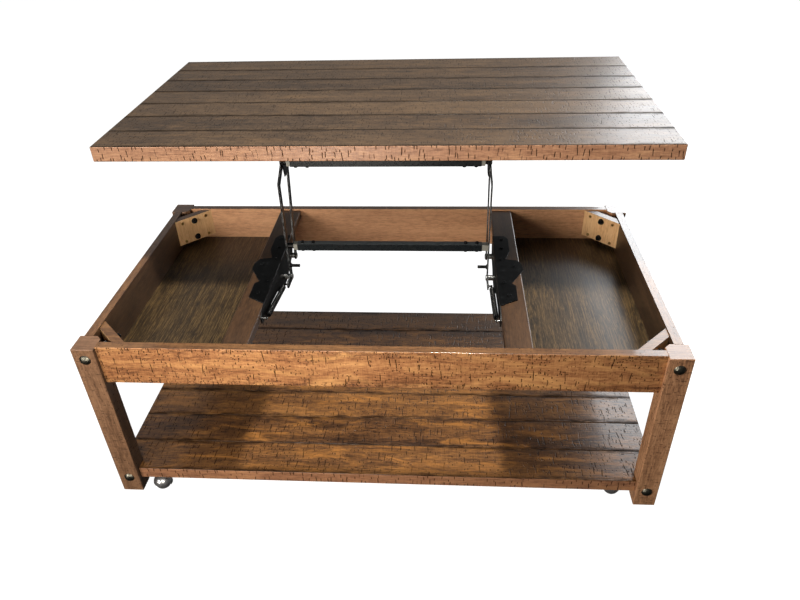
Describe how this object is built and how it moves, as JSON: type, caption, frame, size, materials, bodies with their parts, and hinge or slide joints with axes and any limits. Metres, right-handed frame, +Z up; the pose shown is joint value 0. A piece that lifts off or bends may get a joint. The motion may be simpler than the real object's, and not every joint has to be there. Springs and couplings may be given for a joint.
{
  "type": "lift top coffee table",
  "caption": "Planked wooden coffee table whose top rises on a parallel-arm lift over open storage compartments, with a lower shelf on casters.",
  "frame": {"origin": "bottom centre of the whole table with its top raised, on the floor", "axes": "+Z up, +X to the right along the table's length, -Y towards the front, the side the raised top leaves clear"},
  "size_m": [1.32, 1.0449, 0.7746],
  "materials": {
    "top_wood": "distressed brown stain, satin",
    "frame_wood": "distressed orange-brown stain, satin",
    "shelf_wood": "distressed dark brown stain, satin",
    "rail_wood": "plain brown stain, satin",
    "floor_panel": "dark oak-grained panel, semi-gloss",
    "block_wood": "light orange-brown stain, satin",
    "black_steel": "semi-gloss black",
    "zinc_steel": "zinc plated",
    "pewter_steel": "aged pewter",
    "brass_screws": "yellow zinc",
    "white_nylon": "natural nylon",
    "caster_metal": "polished dark chrome",
    "caster_wheel": "polished dark grey"
  },
  "bodies": {
    "table_base": {"leg_front_left": "frame_wood", "leg_front_right": "frame_wood", "leg_back_left": "frame_wood", "leg_back_right": "frame_wood", "apron_front": "frame_wood", "apron_back": "frame_wood", "apron_left": "frame_wood", "apron_right": "frame_wood", "corner_block_front_left": "block_wood", "corner_block_front_right": "block_wood", "corner_block_back_left": "block_wood", "corner_block_back_right": "block_wood", "hanger_bolts": "pewter_steel", "corner_nuts": "pewter_steel", "corner_screws": "brass_screws", "leg_bolt_heads": "pewter_steel", "lift_rail_left": "rail_wood", "lift_rail_right": "rail_wood", "compartment_wall_left": "rail_wood", "compartment_wall_right": "rail_wood", "compartment_floor_left": "floor_panel", "compartment_floor_right": "floor_panel", "shelf": "shelf_wood", "base_bracket_left": "black_steel", "base_bracket_right": "black_steel", "base_bracket_screws": "black_steel", "base_pivot_pins": "black_steel", "spring_anchor_pins": "zinc_steel", "caster_plates": "caster_metal", "lift_spring_left": "black_steel", "lift_spring_right": "black_steel"},
    "front_arms": {"front_arm_left": "black_steel", "front_arm_right": "black_steel", "lower_crossbar": "black_steel", "crossbar_end_blocks": "white_nylon", "crossbar_spacer": "black_steel", "crossbar_bolts": "black_steel", "front_arm_studs": "black_steel"},
    "rear_arms": {"rear_arm_left": "black_steel", "rear_arm_right": "black_steel"},
    "lifting_top": {"tabletop": "top_wood", "top_bracket_left": "black_steel", "top_bracket_right": "black_steel", "upper_crossbar": "black_steel", "upper_end_blocks": "white_nylon", "upper_crossbar_bolts": "black_steel", "top_pivot_pins": "black_steel", "top_bracket_screws": "black_steel"},
    "caster_front_left": {"caster_hood_front_left": "caster_metal", "caster_axle_front_left": "zinc_steel"},
    "wheel_front_left": {"caster_wheel_front_left": "caster_wheel"},
    "caster_front_right": {"caster_hood_front_right": "caster_metal", "caster_axle_front_right": "zinc_steel"},
    "wheel_front_right": {"caster_wheel_front_right": "caster_wheel"},
    "caster_back_left": {"caster_hood_back_left": "caster_metal", "caster_axle_back_left": "zinc_steel"},
    "wheel_back_left": {"caster_wheel_back_left": "caster_wheel"},
    "caster_back_right": {"caster_hood_back_right": "caster_metal", "caster_axle_back_right": "zinc_steel"},
    "wheel_back_right": {"caster_wheel_back_right": "caster_wheel"}
  },
  "joints": [
    {"name": "lift", "type": "hinge", "parent": "table_base", "child": "front_arms", "pos_m": [0, -0.12298, 0.396], "axis": [1, 0, 0], "range_deg": [0, 94.5], "deforming": ["lift_spring_left", "lift_spring_right"]},
    {"name": "rear_arm_swing", "type": "hinge", "parent": "table_base", "child": "rear_arms", "pos_m": [0, -0.05298, 0.418], "axis": [1, 0, 0], "range_deg": [0, 94.5]},
    {"name": "top_level", "type": "hinge", "parent": "front_arms", "child": "lifting_top", "pos_m": [0, -0.08095, 0.69506], "axis": [1, 0, 0], "range_deg": [-94.5, 0]},
    {"name": "caster_swivel_front_left", "type": "hinge", "parent": "table_base", "child": "caster_front_left", "pos_m": [-0.553, -0.47798, 0.05], "axis": [0, 0, 1], "continuous": true},
    {"name": "wheel_roll_front_left", "type": "hinge", "parent": "caster_front_left", "child": "wheel_front_left", "pos_m": [-0.553, -0.48998, 0.02], "axis": [1, 0, 0], "continuous": true},
    {"name": "caster_swivel_front_right", "type": "hinge", "parent": "table_base", "child": "caster_front_right", "pos_m": [0.553, -0.47798, 0.05], "axis": [0, 0, 1], "continuous": true},
    {"name": "wheel_roll_front_right", "type": "hinge", "parent": "caster_front_right", "child": "wheel_front_right", "pos_m": [0.553, -0.46598, 0.02], "axis": [1, 0, 0], "continuous": true},
    {"name": "caster_swivel_back_left", "type": "hinge", "parent": "table_base", "child": "caster_back_left", "pos_m": [-0.553, 0.13202, 0.05], "axis": [0, 0, 1], "continuous": true},
    {"name": "wheel_roll_back_left", "type": "hinge", "parent": "caster_back_left", "child": "wheel_back_left", "pos_m": [-0.553, 0.14402, 0.02], "axis": [1, 0, 0], "continuous": true},
    {"name": "caster_swivel_back_right", "type": "hinge", "parent": "table_base", "child": "caster_back_right", "pos_m": [0.553, 0.13202, 0.05], "axis": [0, 0, 1], "continuous": true},
    {"name": "wheel_roll_back_right", "type": "hinge", "parent": "caster_back_right", "child": "wheel_back_right", "pos_m": [0.553, 0.14402, 0.02], "axis": [1, 0, 0], "continuous": true}
  ],
  "couplings": [
    {"joint": "rear_arm_swing", "follows": "lift", "ratio": 1},
    {"joint": "top_level", "follows": "lift", "ratio": -1}
  ]
}
